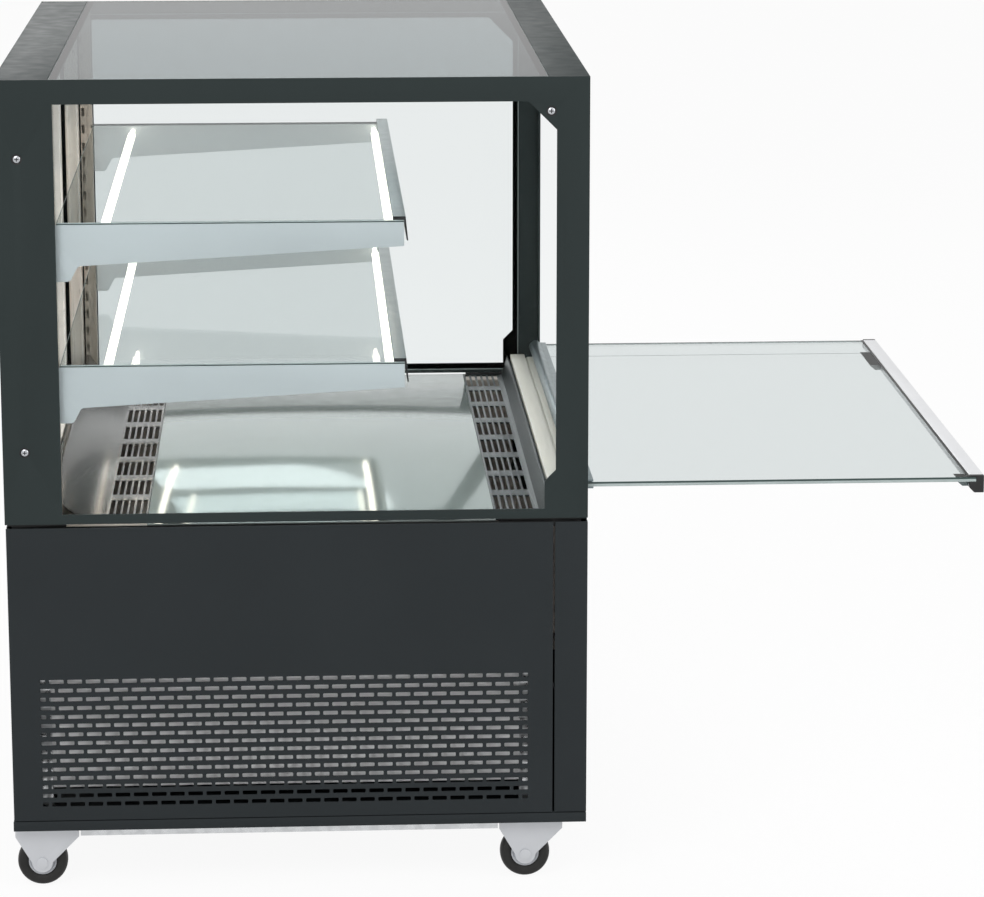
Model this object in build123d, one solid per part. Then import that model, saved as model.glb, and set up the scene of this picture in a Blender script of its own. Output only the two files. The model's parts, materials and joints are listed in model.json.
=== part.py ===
from build123d import *
from math import cos, hypot, radians, sin
import os

# A refrigerated pastry display case on casters. The front glass is folded down.
# Sizes in millimetres. x runs from the case's back face towards the customer,
# y along the case, z up from the floor. The last section moves every piece so
# that the origin lies under the middle of the whole footprint.

# Overall sizes
case_depth = 720.0
case_length = 900.0
case_height = 1025.0
run_gap = 0.3
sheet = 3.0
thin_sheet = 2.0

# Casters
wheel_diameter = 63.0
tyre_width = 24.0
tread_chamfer = 4.0
rim_diameter = 35.0
hub_boss_diameter = 20.0
hub_web = 12.0
axle_radius = 4.0
axle_head_radius = 7.0
axle_head_height = 2.0
axle_fit = 0.05
caster_trail = 7.0
fork_sheet = 2.5
fork_crown_length = 80.0
fork_wall_height = 10.0
fork_tip_radius = 13.0
fork_side_gap = 1.5
plate_height = 2.5
plate_length = 76.0
kingpin_radius = 6.0
kingpin_head_radius = 9.0
kingpin_head_height = 3.0
caster_side_inset = 31.5
rear_caster_x = 40.5
front_caster_x = 651.0

# Base, rails and corner posts
base_height = 78.5
base_thickness = 12.5
base_side_member = 62.0
base_end_member = 30.0
plinth_height = 1.5
plinth_inset = 2.0
rail_width = 40.0
rail_height = 12.5
rail_inset = 17.0
rail_wall = 1.5
rail_caster_gap = 1.2
post_leg = 30.0
post_inset = 12.0
baffle_foot = 39.0

# Lower body panels
panel_top = 470.0
front_return = 40.5
panel_gap = 2.5
panel_fold = 12.0
panel_fold_drop = 8.0
end_panel_inset = 1.0
rear_panel_inset = 1.0

# Slotted grille in the lower end panel
grille_rows = 15
grille_row_pitch = 11.4
grille_slot_length = 18.3
grille_slot_height = 5.5
grille_slot_pitch = 22.7
grille_full_slots = 27
grille_front_edge = 646.0
grille_top_row = 273.0

# Louvre slots in the rear service panel
louvre_length = 120.0
louvre_height = 8.0
louvre_pitch = 16.0
louvre_rows = 8
louvre_bottom = 120.0

# Insulated tub
tub_bottom = 300.0
tub_wall = 22.0
tub_back = 20.0
tub_front_gap = 20.0
tub_side_inset = 18.0
tub_flange = 7.0
tub_flange_inset = 8.0
rear_riser_end = 75.0
front_riser_start = 610.0

# Upper frame
frame_foot = 475.0
frame_fold = 13.0
rear_post = 71.0
front_post = 40.0
top_bar = 30.0
bottom_bar = 12.0
window_chamfer = 35.0
gusset_depth = 54.0
gusset_height = 52.0
gusset_chamfer = 14.0
end_glass = 5.0
end_glass_lap = 8.0
rear_strip = 66.0
front_strip = 50.0
ledge = 10.0
top_glass_thickness = 5.0
door_stop_depth = 21.0
door_stop_inset = 12.5

# Frame screws: heights from the frame's foot or top, and insets from its back or front edge
screw_head_radius = 5.0
screw_head_height = 1.5
screw_shank_radius = 2.5
dimple_radius = 6.4
dimple_depth = 1.5
screw_hole_gap = 0.3
rear_screw_inset = 27.0
low_screw_rise = 91.0
high_screw_drop = 96.0
front_screw_inset = 47.0
front_screw_drop = 42.0

# Deck and vents
deck_sheet = 2.0
rear_vent_start = 119.0
rear_vent_end = 174.0
front_vent_start = 606.3
front_vent_end = 665.0
vent_slot_width = 5.3
vent_slot_pitch = 8.2
vent_row_bridge = 29.5
vent_rows = 8
vent_end_margin = 24.0
vent_row_offset = 20.0
vent_edge = 5.0
vent_slots = 6
vent_slot_offset = 3.0
cove_radius = 66.0
cove_angle = 64.0
cove_flange = 5.0
upstand_height = 27.0
upstand_lean = 8.0

# Front sill
sill_start = 674.5
sill_height = 19.0
cap_start = 676.0
inner_band = 21.0
band_groove = 3.0
outer_band = 12.0
inner_band_height = 8.0
outer_band_height = 4.0
groove_floor = 2.0

# Shelves
lower_shelf_rise = 195.5
shelf_spacing = 176.5
shelf_glass = 5.0
shelf_back = 71.5
shelf_front = 494.0
shelf_side_gap = 13.5
upright_start = 53.5
upright_width = 16.5
upright_depth = 15.0
upright_wall = 1.5
upright_top_gap = 13.0
upright_slot_height = 12.0
upright_slot_width = 4.0
upright_slot_pitch = 25.0
upright_slots = 20
bracket_tab_height = 67.5
bracket_tab_end = 87.0
bracket_root_end = 97.0
bracket_root_height = 48.5
bracket_tip_height = 27.0
bracket_flange = 12.0
bracket_corner = 6.0
bracket_lip = 2.5
price_rail_clip = 13.5
price_rail_lift = 4.5
price_rail_drop = 30.0
price_rail_lean = 3.0
price_rail_sheet = 1.8
lamp_radius = 7.0
lamp_end_radius = 4.0
lamp_length = 784.0
front_lamp_inset = 17.0
rear_lamp_x = 128.0

# Rear sliding doors
track_start = 3.0
door_thickness = 19.0
door_gap = 0.5
track_rib = 6.0
track_base = 5.0
track_lip = 17.0
head_track_drop = 20.0
jamb_depth = 14.0
jamb_groove = 6.0
door_overlap = 50.0
door_rail = 30.0
door_stile = 32.0
door_glass = 4.0
pull_width = 12.0
pull_height = 120.0
pull_depth = 6.0

# Front glass
hinge_inset = 7.0
hinge_rise = 39.0
glass_reach = 505.0
pane_thickness = 6.0
pane_side_gap = 14.0
pane_start = 7.3
hinge_boss_radius = 9.0
hinge_jaw_length = 15.0
hinge_jaw_wall = 2.6
hinge_side_gap = 16.0
pin_radius = 3.0
pin_fit = 0.05
pin_reach = 37.0
pin_bore_depth = 28.0
handle_depth = 18.0
handle_height = 22.0
handle_chamfer = 6.0
handle_top_lip = 2.0
handle_wall = 2.0
slot_depth = 8.0
slot_fit = 0.1
cap_thickness = 7.0
grip_depth = 16.0
grip_height = 7.0
near_grip_length = 25.0
far_grip_length = 96.0
far_grip_inset = 73.0

# Cooling unit
compressor_radius = 62.0
compressor_height = 128.0
compressor_x = 210.0
compressor_y = -190.0
coil_thickness = 44.0
coil_length = 260.0
coil_height = 180.0
coil_start_x = 560.0
coil_middle_y = -120.0
fin_pitch = 18.0
fin_slot = 9.0
fin_depth = 15.0
shroud_depth = 36.0
fan_radius = 76.0
fan_tip_gap = 5.0
fan_hub_radius = 18.0
fan_hub_length = 22.0
fan_shaft_radius = 3.0
fan_shaft_fit = 0.05
fan_blades = 5
blade_chord = 34.0
blade_pitch = 28.0
blade_thickness = 2.0
motor_radius = 26.0
motor_length = 40.0
motor_gap = 3.0
evaporator_start_x = 330.0
evaporator_thickness = 70.0
evaporator_length = 560.0
evaporator_height = 100.0
evaporator_fan_radius = 42.0

# Controls on the rear service panel
control_width = 150.0
control_height = 84.0
control_depth = 60.0
control_middle_y = 250.0
control_bottom = 190.0
control_window_inset = 10.0
switch_width = 20.0
switch_height = 28.0
switch_depth = 4.0
switch_tilt = 3.6
switch_well = 8.0
switch_gap = 0.4
switch_offset = 40.0
switch_pin_radius = 1.5

# Worked-out places
half_length = case_length / 2
inner_half = half_length - sheet
glass_inner_half = inner_half - end_glass
deck_level = panel_top + deck_sheet
rear_track_end = track_start + 2 * (door_thickness + 2 * door_gap) + track_rib + 2 * deck_sheet
hinge_x = case_depth - hinge_inset
hinge_height = frame_foot + hinge_rise
lower_level = deck_level + lower_shelf_rise
shelf_levels = {"lower": lower_level, "upper": lower_level + shelf_spacing}
upright_top = case_height - upright_top_gap
handle_tip_x = hinge_x + glass_reach
wheel_radius = wheel_diameter / 2
base_top = base_height + base_thickness
panel_foot = base_top + plinth_height
fold_inner_half = half_length - frame_fold
sill_top = frame_foot + sill_height


def block(x0, x1, y0, y1, z0, z1):
    """A bar between two opposite corners."""
    middle = Pos((x0 + x1) / 2, (y0 + y1) / 2, (z0 + z1) / 2)
    return middle * Box(x1 - x0, y1 - y0, z1 - z0)


def across(outline, y0, y1):
    """A side-view outline (x, z) drawn out along the case from y0 to y1."""
    return Pos(0, y1, 0) * extrude(Plane.XZ * outline, y1 - y0, dir=(0, -1, 0))


def rod_y(x, z, radius, y0, y1):
    """A round bar along the case."""
    return across(Pos(x, z) * Circle(radius), y0, y1)


def rod_x(y, z, radius, x0, x1):
    """A round bar from back to front."""
    disc = Plane.YZ * (Pos(y, z) * Circle(radius))
    return Pos(x0, 0, 0) * extrude(disc, x1 - x0, dir=(1, 0, 0))


def outline(*points):
    """A closed straight-sided outline, wound so that it faces its own plane."""
    steps = zip(points, points[1:] + points[:1])
    area = sum(a[0] * b[1] - b[0] * a[1] for a, b in steps)
    ordered = points if area > 0 else points[::-1]
    return Polygon(*ordered, align=None)


def window(x0, x1, z0, z1):
    """The corners of a rectangular hole."""
    return [(x0, z0), (x1, z0), (x1, z1), (x0, z1)]


def punched(outer, holes, plane, thickness):
    """A flat sheet with straight-sided holes, drawn out along the plane's normal."""
    rims = [Wire.make_polygon([(*p, 0) for p in hole], close=True) for hole in holes]
    edge = Wire.make_polygon([(*p, 0) for p in outer], close=True)
    return extrude(plane * Face(edge, rims), thickness, dir=plane.z_dir)


def both_ends(piece):
    """The piece and its mirror image at the other end of the case."""
    return [piece, mirror(piece, about=Plane.XZ)]


# End frames: a laser-cut plate with a window, folded in at its back, front and foot
def window_outline():
    front = case_depth - front_post
    gusset = case_depth - gusset_depth
    low = frame_foot + bottom_bar
    high = case_height - top_bar
    knee = low + gusset_height - gusset_chamfer - sheet
    return outline(
        (rear_post, low),
        (gusset, low),
        (gusset, knee),
        (front, knee + gusset_chamfer),
        (front, high - window_chamfer),
        (front - window_chamfer, high),
        (rear_post, high),
    )


def screw_places():
    return [
        (rear_screw_inset, frame_foot + low_screw_rise),
        (rear_screw_inset, case_height - high_screw_drop),
        (case_depth - front_screw_inset, case_height - front_screw_drop),
    ]


def end_frame_left():
    plate = outline(*window(0, case_depth, frame_foot, case_height)) - window_outline()
    frame = across(plate, -half_length, -inner_half)
    fold = (-inner_half, -half_length + frame_fold)
    frame += block(0, sheet, *fold, frame_foot, case_height - sheet)
    frame += block(case_depth - sheet, case_depth, *fold, frame_foot, case_height - sheet)
    frame += block(0, case_depth, *fold, frame_foot, frame_foot + sheet)
    for x, z in screw_places():
        frame -= rod_y(x, z, dimple_radius, -half_length, -half_length + dimple_depth)
        frame -= rod_y(x, z, screw_shank_radius + screw_hole_gap, -half_length, -inner_half)
    return frame


def frame_screws():
    head_start = -half_length + dimple_depth - screw_head_height
    screws = []
    for x, z in screw_places():
        head = rod_y(x, z, screw_head_radius, head_start, -half_length + dimple_depth)
        shank = rod_y(x, z, screw_shank_radius, -half_length + dimple_depth, -inner_half)
        screws += both_ends(head + shank)
    return screws


def end_glass_left():
    x0 = rear_post - end_glass_lap
    x1 = case_depth - front_post + end_glass_lap
    z0 = frame_foot + sheet + run_gap
    z1 = case_height - top_bar + end_glass_lap
    return block(x0, x1, -inner_half, -glass_inner_half, z0, z1)


# Top strips with a ledge on which the top glass lies
ledge_top = case_height - top_glass_thickness
ledge_bottom = ledge_top - thin_sheet


def rear_top_rail():
    section = outline(
        (sheet, case_height),
        (rear_strip, case_height),
        (rear_strip, ledge_top),
        (rear_strip + ledge, ledge_top),
        (rear_strip + ledge, ledge_bottom),
        (rear_strip - thin_sheet, ledge_bottom),
        (rear_strip - thin_sheet, case_height - sheet),
        (sheet, case_height - sheet),
    )
    top = across(section, -inner_half, inner_half)
    skirt_low = case_height - sheet - head_track_drop
    return top + block(0, sheet, -fold_inner_half, fold_inner_half, skirt_low, case_height)


def front_top_rail():
    start = case_depth - front_strip
    section = outline(
        (case_depth, case_height),
        (start, case_height),
        (start, ledge_top),
        (start - ledge, ledge_top),
        (start - ledge, ledge_bottom),
        (start + thin_sheet, ledge_bottom),
        (start + thin_sheet, case_height - sheet),
        (case_depth, case_height - sheet),
    )
    stop_x = case_depth - door_stop_inset
    stop = block(
        stop_x - thin_sheet,
        stop_x,
        -fold_inner_half,
        fold_inner_half,
        case_height - sheet - door_stop_depth,
        case_height - sheet,
    )
    return across(section, -inner_half, inner_half) + stop


def top_glass():
    x0 = rear_strip + run_gap
    x1 = case_depth - front_strip - run_gap
    y = inner_half - run_gap
    return block(x0, x1, -y, y, ledge_top, case_height)


# Deck, vents and the coved duct wall at the back
def vent_slots_from(x0, half_width):
    row_pitch = (case_length - 2 * vent_end_margin) / vent_rows
    slot_length = row_pitch - vent_row_bridge
    first_row = vent_row_offset - (vent_rows - 1) / 2 * row_pitch
    holes = []
    for row in range(vent_rows):
        middle = first_row + row * row_pitch
        for column in range(vent_slots):
            x = x0 + column * vent_slot_pitch
            y0 = middle - slot_length / 2
            y1 = min(y0 + slot_length, half_width - vent_edge)
            holes.append(window(x, x + vent_slot_width, y0, y1))
    return holes


def vent_sheet(x0, x1, first_slot, half_width):
    outer = window(x0, x1, -half_width, half_width)
    holes = vent_slots_from(first_slot, half_width)
    return punched(outer, holes, Plane.XY.offset(deck_level - deck_sheet), deck_sheet)


def deck_plate():
    y = glass_inner_half - run_gap
    x0 = rear_vent_end + run_gap
    x1 = front_vent_start - run_gap
    return block(x0, x1, -y, y, deck_level - deck_sheet, deck_level)


def front_vent_plate():
    first_slot = front_vent_start + vent_slot_offset
    inside = fold_inner_half - run_gap
    flat = vent_sheet(front_vent_start, front_vent_end, first_slot, inside)
    top = deck_level + upstand_height
    upstand = outline(
        (front_vent_end, deck_level - deck_sheet),
        (front_vent_end + upstand_lean, top),
        (front_vent_end + upstand_lean - deck_sheet, top),
        (front_vent_end - deck_sheet, deck_level),
        (front_vent_end - deck_sheet, deck_level - deck_sheet),
    )
    return flat + across(upstand, -inside, inside)


def rear_vent_plate():
    inside = half_length - shelf_side_gap - upright_depth - thin_sheet
    slots_width = (vent_slots - 1) * vent_slot_pitch + vent_slot_width
    first_slot = rear_vent_end - vent_slot_offset - slots_width
    flat = vent_sheet(rear_vent_start, rear_vent_end, first_slot, inside)
    middle = (rear_vent_start, deck_level + cove_radius)
    angle = 270 - cove_angle
    outer_radius = cove_radius + deck_sheet
    lip_x = middle[0] - cove_radius * sin(radians(cove_angle))
    lip_z = middle[1] - cove_radius * cos(radians(cove_angle))
    low_x = middle[0] - outer_radius * sin(radians(cove_angle))
    low_z = middle[1] - outer_radius * cos(radians(cove_angle))
    upper = CenterArc(middle, cove_radius, 270, -cove_angle)
    lower = CenterArc(middle, outer_radius, angle, cove_angle)
    flange_end = low_x - cove_flange
    crest = Polyline((lip_x, lip_z), (flange_end, lip_z), (flange_end, low_z), (low_x, low_z))
    foot = Line((rear_vent_start, deck_level - deck_sheet), (rear_vent_start, deck_level))
    cove = make_face([upper, crest, lower, foot])
    return flat + across(cove, -inside, inside)


# Front sill with its cream cap of two raised bands
def front_sill():
    y = fold_inner_half - run_gap
    return block(sill_start, case_depth, -y, y, panel_top, sill_top)


def sill_cap():
    inner_end = cap_start + inner_band
    outer_start = inner_end + band_groove
    outer_end = outer_start + outer_band
    section = outline(
        (cap_start, sill_top),
        (outer_end, sill_top),
        (outer_end, sill_top + outer_band_height),
        (outer_start, sill_top + outer_band_height),
        (outer_start, sill_top + groove_floor),
        (inner_end, sill_top + groove_floor),
        (inner_end, sill_top + inner_band_height),
        (cap_start, sill_top + inner_band_height),
    )
    y = fold_inner_half - run_gap
    return across(section, -y, y)


# Insulated tub of foamed panels: floor, walls, and a rim with the risers that carry the frame
def insulated_tub():
    front = case_depth - tub_front_gap
    y = half_length - tub_side_inset
    inner = y - tub_wall
    rim = half_length - tub_flange_inset
    rim_low = panel_top - tub_flange
    inner_back = tub_back + tub_wall
    inner_front = front - tub_wall
    low = tub_bottom + tub_wall
    panels = [
        block(tub_back, front, -y, y, tub_bottom, low),
        block(tub_back, inner_back, -y, y, low, rim_low),
        block(inner_front, front, -y, y, low, rim_low),
        block(tub_flange_inset, inner_back, -rim, rim, rim_low, panel_top),
        block(inner_front, case_depth - tub_flange_inset, -rim, rim, rim_low, panel_top),
    ]
    panels += both_ends(block(inner_back, inner_front, -y, -inner, low, rim_low))
    panels += both_ends(block(inner_back, inner_front, -rim, -inner, rim_low, panel_top))
    risers = (
        (tub_flange_inset, rear_riser_end),
        (front_riser_start, case_depth - tub_flange_inset),
    )
    for x0, x1 in risers:
        panels += both_ends(block(x0, x1, -rim, -fold_inner_half, panel_top, frame_foot))
    return panels


# Lower body
def base_frame():
    y = half_length
    slab = block(0, case_depth, -y, y, base_height, base_top)
    inner = half_length - plinth_inset
    slab += block(plinth_inset, case_depth - plinth_inset, -inner, inner, base_top, panel_foot)
    recess = half_length - base_side_member
    x1 = case_depth - base_end_member
    return slab - block(base_end_member, x1, -recess, recess, base_height, panel_foot - sheet)


def corner_posts():
    posts = []
    y1 = half_length - post_inset
    for x0, face in ((tub_back, 1), (front_caster_x - post_leg / 2, -1)):
        x1 = x0 + post_leg
        leg_x = x1 - thin_sheet if face > 0 else x0
        post = block(x0, x1, -y1, -y1 + thin_sheet, panel_foot, tub_bottom)
        post += block(leg_x, leg_x + thin_sheet, -y1, -y1 + post_leg, panel_foot, tub_bottom)
        posts += both_ends(post)
    return posts


def side_baffles():
    x0 = tub_back + post_leg
    x1 = front_caster_x - post_leg / 2
    y0 = -half_length + post_inset + thin_sheet
    z0 = panel_foot + baffle_foot
    sheet_part = block(x0, x1, y0, y0 + thin_sheet, z0, tub_bottom)
    hem = block(x0, x0 + panel_fold, y0, y0 + panel_fold, z0, tub_bottom)
    return both_ends(sheet_part + hem)


def end_panel(holes):
    x0 = end_panel_inset
    x1 = case_depth - front_return - panel_gap
    plane = Plane.XZ.offset(half_length - thin_sheet)
    panel = punched(window(x0, x1, panel_foot, panel_top), holes, plane, thin_sheet)
    fold = (-half_length + thin_sheet, -half_length + panel_fold)
    fold_top = panel_top - panel_fold_drop
    for start in (x0 + thin_sheet + run_gap, x1 - thin_sheet):
        panel += block(start, start + thin_sheet, *fold, panel_foot, fold_top)
    return panel


def grille_holes():
    half_slot = (grille_slot_length - (grille_slot_pitch - grille_slot_length)) / 2
    rear_edge = grille_front_edge - (grille_full_slots - 1) * grille_slot_pitch - grille_slot_length
    holes = []
    for row in range(grille_rows):
        z1 = grille_top_row + grille_slot_height / 2 - row * grille_row_pitch
        z0 = z1 - grille_slot_height
        spans = []
        if row % 2:
            for k in range(grille_full_slots):
                start = rear_edge + k * grille_slot_pitch
                spans.append((start, start + grille_slot_length))
        else:
            spans.append((rear_edge, rear_edge + half_slot))
            for k in range(grille_full_slots - 1):
                start = rear_edge + (k + 0.5) * grille_slot_pitch
                spans.append((start, start + grille_slot_length))
            spans.append((grille_front_edge - half_slot, grille_front_edge))
        holes += [window(start, end, z0, z1) for start, end in spans]
    return holes


def front_panel():
    x0 = case_depth - front_return
    y = half_length
    shell = block(x0, case_depth, -y, y, panel_foot, panel_top)
    inner = block(
        x0, case_depth - thin_sheet, -y + thin_sheet, y - thin_sheet, panel_foot, panel_top
    )
    return shell - inner


def rear_service_panel():
    x0 = rear_panel_inset
    y = half_length - panel_fold - run_gap
    start = -(louvre_length * 1.5 + louvre_pitch)
    holes = []
    for row in range(louvre_rows):
        z = louvre_bottom + row * louvre_pitch
        for column in range(2):
            left = start + column * (louvre_length + louvre_pitch)
            holes.append(window(left, left + louvre_length, z, z + louvre_height))
    inset = control_window_inset
    left = control_middle_y - control_width / 2 + inset
    low = control_bottom + inset
    holes.append(
        window(left, left + control_width - 2 * inset, low, low + control_height - 2 * inset)
    )
    outer = window(-y, y, panel_foot, panel_top)
    return punched(outer, holes, Plane.YZ.offset(x0), thin_sheet)


def base_rails():
    y1 = -half_length + rail_inset
    y0 = y1 + rail_width
    top = base_height
    low = top - rail_height
    wall = rail_wall
    bar = block(rear_caster_x, front_caster_x, y1, y0, low, top)
    bar -= block(rear_caster_x, front_caster_x, y1 + wall, y0 - wall, low + wall, top - wall)
    swing = caster_swing() + rail_caster_gap
    for x in (rear_caster_x, front_caster_x):
        clear = Pos(x, -half_length + caster_side_inset, top - rail_height / 2)
        bar -= clear * Cylinder(swing, rail_height)
    return both_ends(bar)


# Casters
fork_half_width = tyre_width / 2 + fork_side_gap + fork_sheet


def caster_swing():
    return hypot(fork_crown_length / 2, fork_half_width)


def caster_plates():
    plates = []
    top = base_height
    crown_top = top - plate_height - run_gap
    pin_low = crown_top - fork_sheet - run_gap - kingpin_head_height
    for x in (rear_caster_x, front_caster_x):
        y = -half_length + caster_side_inset
        half = plate_length / 2
        plate = block(x - half, x + half, y - half / 2, y + half / 2, top - plate_height, top)
        pin = Pos(x, y, (pin_low + top) / 2) * Cylinder(kingpin_radius, top - pin_low)
        head_z = pin_low + kingpin_head_height / 2
        head = Pos(x, y, head_z) * Cylinder(kingpin_head_radius, kingpin_head_height)
        plates += both_ends(plate + pin + head)
    return plates


def caster_fork(x, y):
    top = base_height - plate_height - run_gap
    half = fork_crown_length / 2
    axle_x = x - caster_trail
    low = wheel_radius
    tip = fork_tip_radius
    cheek = outline(
        (x - half, top),
        (x + half, top),
        (x + half, top - fork_wall_height),
        (axle_x + tip, low),
        (axle_x - tip, low),
        (x - half, top - fork_wall_height),
    )
    cheek += Pos(axle_x, low) * Circle(tip)
    outer = across(cheek, y - fork_half_width, y + fork_half_width)
    gap = fork_half_width - fork_sheet
    channel = block(x - half, x + half, y - gap, y + gap, low - tip, top - fork_sheet)
    fork = outer - channel
    hole = Pos(x, y, top - fork_sheet / 2) * Cylinder(kingpin_radius + axle_fit, fork_sheet)
    fork -= hole
    fork -= rod_y(axle_x, low, axle_radius, y - fork_half_width, y + fork_half_width)
    reach = fork_half_width + axle_head_height
    axle = rod_y(axle_x, low, axle_radius, y - reach, y + reach)
    for y0, y1 in ((y - reach, y - fork_half_width), (y + fork_half_width, y + reach)):
        axle += rod_y(axle_x, low, axle_head_radius, y0, y1)
    return [fork, axle]


def wheel_tyre(x, y):
    half = tyre_width / 2
    rim = rim_diameter / 2
    section = outline(
        (rim, -half + tread_chamfer / 2),
        (wheel_radius - tread_chamfer, -half),
        (wheel_radius, -half + tread_chamfer),
        (wheel_radius, half - tread_chamfer),
        (wheel_radius - tread_chamfer, half),
        (rim, half - tread_chamfer / 2),
    )
    ring = revolve(Plane.XY * section, Axis.Y)
    return Pos(x - caster_trail, y, wheel_radius) * ring


def wheel_hub(x, y):
    half = tyre_width / 2
    rim = rim_diameter / 2
    boss = hub_boss_diameter / 2
    section = outline(
        (axle_radius + axle_fit, -half),
        (boss, -half),
        (boss, -hub_web / 2),
        (rim, -half + tread_chamfer),
        (rim, half - tread_chamfer),
        (boss, hub_web / 2),
        (boss, half),
        (axle_radius + axle_fit, half),
    )
    wheel = revolve(Plane.XY * section, Axis.Y)
    return Pos(x - caster_trail, y, wheel_radius) * wheel


# Shelves
def shelf_uprights():
    y1 = half_length - shelf_side_gap
    y0 = y1 - upright_depth
    x1 = upright_start + upright_width
    wall = upright_wall
    bar = block(upright_start, x1, -y1, -y0, panel_top, upright_top)
    bar -= block(upright_start + wall, x1 - wall, -y1 + wall, -y0 - wall, deck_level, upright_top)
    slot_x = upright_start + wall
    for k in range(upright_slots):
        z = upright_top - (k + 1) * upright_slot_pitch
        slot = (z, z + upright_slot_height)
        bar -= block(slot_x, slot_x + upright_slot_width, -y0 - wall, -y0, *slot)
    return both_ends(bar)


def shelf_bracket(level):
    y0 = -half_length + shelf_side_gap - thin_sheet
    cheek = outline(
        (upright_start, level + bracket_lip),
        (shelf_front, level + bracket_lip),
        (shelf_front, level - bracket_tip_height),
        (bracket_root_end, level - bracket_root_height),
        (bracket_tab_end, level - bracket_tab_height),
        (upright_start, level - bracket_tab_height),
    )
    corners = cheek.vertices().filter_by(lambda v: upright_start < v.X < shelf_front)
    plate = across(fillet(corners, bracket_corner), y0, y0 + thin_sheet)
    start = upright_start + upright_width
    lip = (y0 + thin_sheet, y0 + bracket_flange)
    plate += block(start, shelf_front, *lip, level - thin_sheet, level)
    return both_ends(plate)


def shelf_pane(level):
    y = half_length - shelf_side_gap
    return block(shelf_back, shelf_front, -y, y, level, level + shelf_glass)


def price_rail(level):
    top = level + shelf_glass
    front = shelf_front + run_gap
    section = outline(
        (shelf_front - price_rail_clip, top),
        (front, top),
        (front, level - thin_sheet),
        (front + price_rail_lean, top + price_rail_lift - price_rail_drop),
        (front + price_rail_lean + price_rail_sheet, top + price_rail_lift - price_rail_drop),
        (front + price_rail_sheet, top + price_rail_lift),
        (shelf_front - price_rail_clip, top + price_rail_lift),
    )
    y = half_length - shelf_side_gap
    return across(section, -y, y)


def shelf_lamps():
    lamps = []
    reach = half_length - shelf_side_gap - run_gap
    for level in shelf_levels.values():
        z = level - thin_sheet - run_gap - lamp_radius
        for x in (rear_lamp_x, shelf_front - front_lamp_inset):
            tube = rod_y(x, z, lamp_radius, -lamp_length / 2, lamp_length / 2)
            lamps.append(tube + rod_y(x, z, lamp_end_radius, -reach, reach))
    return lamps


# Rear sliding doors in a grooved track
def groove_starts():
    first = track_start + deck_sheet
    return {"outer": first, "inner": first + door_thickness + 2 * door_gap + track_rib}


def door_tracks():
    groove = door_thickness + 2 * door_gap
    y = fold_inner_half - run_gap
    tracks = []
    head_top = case_height - sheet
    floor = frame_foot + track_base
    for low, high, cut in (
        (panel_top, floor + track_lip, (floor, floor + track_lip)),
        (head_top - head_track_drop, head_top, (head_top - head_track_drop, head_top - track_base)),
    ):
        track = block(track_start, rear_track_end, -y, y, low, high)
        for x in groove_starts().values():
            track -= block(x, x + groove, -y, y, *cut)
        tracks.append(track)
    return tracks


def rear_jambs():
    jambs = []
    groove = door_thickness + 2 * door_gap
    y0 = -fold_inner_half
    low = frame_foot + track_base
    high = case_height - sheet - track_base
    for x in groove_starts().values():
        bar = block(x, x + groove, y0, y0 + jamb_depth, low, high)
        wall = (groove - door_thickness / 2) / 2
        mouth = y0 + jamb_depth
        bar -= block(x + wall, x + groove - wall, mouth - jamb_groove, mouth, low, high)
        jambs += both_ends(bar)
    return jambs


def door_span(which):
    end = fold_inner_half - jamb_depth - run_gap
    lap = door_overlap / 2
    return (-end, lap) if which == "inner" else (-lap, end)


def door_parts(which):
    x0 = groove_starts()[which] + door_gap
    x1 = x0 + door_thickness
    y0, y1 = door_span(which)
    z0 = frame_foot + track_base + run_gap
    z1 = case_height - sheet - track_base - run_gap
    frame = block(x0, x1, y0, y1, z0, z1)
    frame -= block(x0, x1, y0 + door_stile, y1 - door_stile, z0 + door_rail, z1 - door_rail)
    pull_y = y1 - door_stile / 2 if which == "inner" else y0 + door_stile / 2
    middle = (z0 + z1) / 2
    frame -= block(
        x0,
        x0 + pull_depth,
        pull_y - pull_width / 2,
        pull_y + pull_width / 2,
        middle - pull_height / 2,
        middle + pull_height / 2,
    )
    glass_x = (x0 + x1 - door_glass) / 2
    pane = block(
        glass_x, glass_x + door_glass, y0 + door_stile, y1 - door_stile, z0 + door_rail, z1 - door_rail
    )
    return frame, pane


# Front glass, lowered: it turns about two pins near the foot of the front posts
def front_glass_pane():
    y = half_length - pane_side_gap
    x1 = handle_tip_x - handle_depth + slot_depth - slot_fit
    half = pane_thickness / 2
    return block(hinge_x + pane_start, x1, -y, y, hinge_height - half, hinge_height + half)


def glass_hinge_rail():
    jaw = pane_thickness / 2 + slot_fit + hinge_jaw_wall
    jaws = window(hinge_x, hinge_x + hinge_jaw_length, hinge_height - jaw, hinge_height + jaw)
    section = Pos(hinge_x, hinge_height) * Circle(hinge_boss_radius) + outline(*jaws)
    slot = pane_thickness / 2 + slot_fit
    start = hinge_x + pane_start - run_gap
    section -= outline(
        *window(start, hinge_x + hinge_jaw_length, hinge_height - slot, hinge_height + slot)
    )
    y = half_length - hinge_side_gap
    rail = across(section, -y, y)
    bore = pin_radius + pin_fit
    rail -= rod_y(hinge_x, hinge_height, bore, -y, -y + pin_bore_depth)
    rail -= rod_y(hinge_x, hinge_height, bore, y - pin_bore_depth, y)
    return rail


def glass_pivot_pins():
    pin = rod_y(hinge_x, hinge_height, pin_radius, -inner_half, -inner_half + pin_reach)
    return both_ends(pin)


def handle_outline():
    top = hinge_height + pane_thickness / 2 + handle_top_lip
    low = top - handle_height
    back = handle_tip_x - handle_depth
    return outline(
        (back, top),
        (handle_tip_x, top),
        (handle_tip_x, low),
        (back + handle_chamfer, low),
        (back, low + handle_chamfer),
    )


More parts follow.
